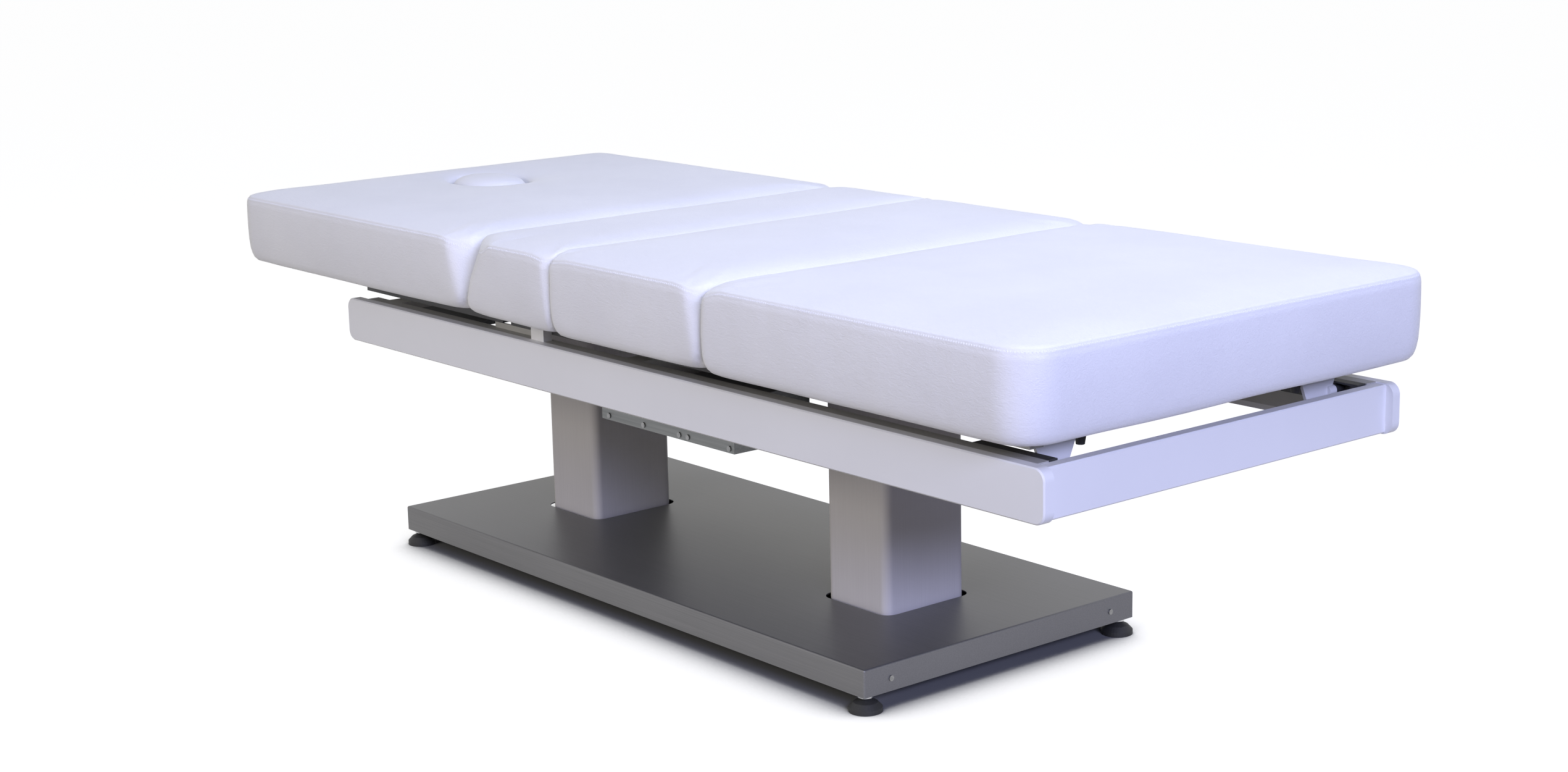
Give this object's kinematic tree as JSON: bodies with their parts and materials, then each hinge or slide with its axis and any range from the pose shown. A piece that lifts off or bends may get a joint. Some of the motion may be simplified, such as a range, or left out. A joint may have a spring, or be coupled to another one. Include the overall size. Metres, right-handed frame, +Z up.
{
  "type": "treatment table",
  "caption": "Padded spa treatment table on two telescopic columns, with a tilting back with face opening, a knee-folding leg end and a flat steel base.",
  "frame": {"origin": "on the floor, under the middle of the upholstery's length and width", "axes": "+Z up; +X along the table to the foot end; +Y across it"},
  "size_m": [2.02, 0.8206, 0.629],
  "materials": {
    "vinyl": "satin white coated upholstery fabric, fine leather grain",
    "plywood": "dark film faced",
    "white_board": "satin white lacquer",
    "white_metal": "satin",
    "stainless": "brushed",
    "grey_steel": "satin powder coat",
    "dark_steel": "matte powder coat",
    "bright_steel": "zinc bright",
    "black_plastic": "matte",
    "black_rubber": "matte"
  },
  "bodies": {
    "base": {"base_pan": "stainless", "base_end_tubes": "dark_steel", "base_rails": "dark_steel", "column_base_plates": "dark_steel", "pan_screws": "bright_steel", "column_outer_head": "stainless", "column_outer_foot": "stainless", "lift_spindles": "bright_steel"},
    "column_stage": {"column_middle_head": "stainless", "column_middle_foot": "stainless"},
    "table_frame": {"column_inner_head": "stainless", "column_inner_foot": "stainless", "lift_drives": "black_plastic", "side_panel_far": "white_board", "side_panel_near": "white_board", "end_panel": "white_board", "side_tubes": "grey_steel", "cross_tube_head": "grey_steel", "cross_tube_middle": "grey_steel", "cross_tube_foot": "grey_steel", "column_head_plates": "dark_steel", "seat_posts": "white_metal", "foot_guides": "black_plastic", "control_tray": "grey_steel", "control_unit": "black_plastic", "tray_screws": "bright_steel", "seat_cushion": "vinyl", "seat_board": "plywood", "seat_rails": "dark_steel", "back_hinge_pins": "bright_steel", "thigh_hinge_pins": "bright_steel", "back_drive": "black_plastic", "thigh_drive": "black_plastic"},
    "back_section": {"back_cushion": "vinyl", "back_board": "plywood", "back_rails": "dark_steel", "back_bar": "grey_steel", "back_lever": "dark_steel"},
    "face_plug": {"face_plug": "vinyl"},
    "thigh_section": {"thigh_cushion": "vinyl", "thigh_board": "plywood", "thigh_rails": "dark_steel", "thigh_bar": "grey_steel", "thigh_lever": "dark_steel", "knee_hinge_pins": "bright_steel"},
    "calf_section": {"calf_cushion": "vinyl", "calf_board": "plywood", "calf_rails": "grey_steel", "calf_bar": "grey_steel", "calf_brackets": "white_metal", "calf_glides": "black_plastic", "calf_buffers": "black_rubber"},
    "back_rod": {"back_rod": "bright_steel"},
    "thigh_rod": {"thigh_rod": "bright_steel"},
    "levelling_foot_1": {"levelling_foot_1": "black_rubber"},
    "levelling_foot_2": {"levelling_foot_2": "black_rubber"},
    "levelling_foot_3": {"levelling_foot_3": "black_rubber"},
    "levelling_foot_4": {"levelling_foot_4": "black_rubber"}
  },
  "joints": [
    {"name": "lift", "type": "slide", "parent": "base", "child": "table_frame", "axis": [0, 0, 1], "range_m": [0, 0.3]},
    {"name": "lift_stage", "type": "slide", "parent": "base", "child": "column_stage", "axis": [0, 0, 1], "range_m": [0, 0.15]},
    {"name": "back_tilt", "type": "hinge", "parent": "table_frame", "child": "back_section", "pos_m": [-0.266, 0, 0.478], "axis": [0, 1, 0], "range_deg": [0, 70], "deforming": ["seat_cushion"]},
    {"name": "thigh_lift", "type": "hinge", "parent": "table_frame", "child": "thigh_section", "pos_m": [-0.02, 0, 0.478], "axis": [0, -1, 0], "range_deg": [0, 25], "deforming": ["seat_cushion"]},
    {"name": "knee_fold", "type": "hinge", "parent": "thigh_section", "child": "calf_section", "pos_m": [0.352, 0, 0.478], "axis": [0, -1, 0], "range_deg": [-41.44, 0]},
    {"name": "back_rod_slide", "type": "slide", "parent": "table_frame", "child": "back_rod", "axis": [-1, 0, 0], "range_m": [0, 0.11061]},
    {"name": "thigh_rod_slide", "type": "slide", "parent": "table_frame", "child": "thigh_rod", "axis": [1, 0, 0], "range_m": [0, 0.03991]},
    {"name": "face_plug_lift_off", "type": "slide", "parent": "back_section", "child": "face_plug", "axis": [0, 0, 1], "range_m": [0, 0.2]},
    {"name": "levelling_turn_1", "type": "hinge", "parent": "base", "child": "levelling_foot_1", "pos_m": [-0.6725, -0.263, 0.03], "axis": [0, 0, 1], "continuous": true},
    {"name": "levelling_turn_2", "type": "hinge", "parent": "base", "child": "levelling_foot_2", "pos_m": [-0.6725, 0.263, 0.03], "axis": [0, 0, 1], "continuous": true},
    {"name": "levelling_turn_3", "type": "hinge", "parent": "base", "child": "levelling_foot_3", "pos_m": [0.5365, -0.263, 0.03], "axis": [0, 0, 1], "continuous": true},
    {"name": "levelling_turn_4", "type": "hinge", "parent": "base", "child": "levelling_foot_4", "pos_m": [0.5365, 0.263, 0.03], "axis": [0, 0, 1], "continuous": true}
  ],
  "couplings": [
    {"joint": "lift_stage", "follows": "lift", "ratio": 0.5},
    {"joint": "knee_fold", "follows": "thigh_lift", "ratio": -1.657},
    {"joint": "back_rod_slide", "follows": "back_tilt", "m_per_rad": 0.090527},
    {"joint": "thigh_rod_slide", "follows": "thigh_lift", "m_per_rad": 0.091444}
  ]
}
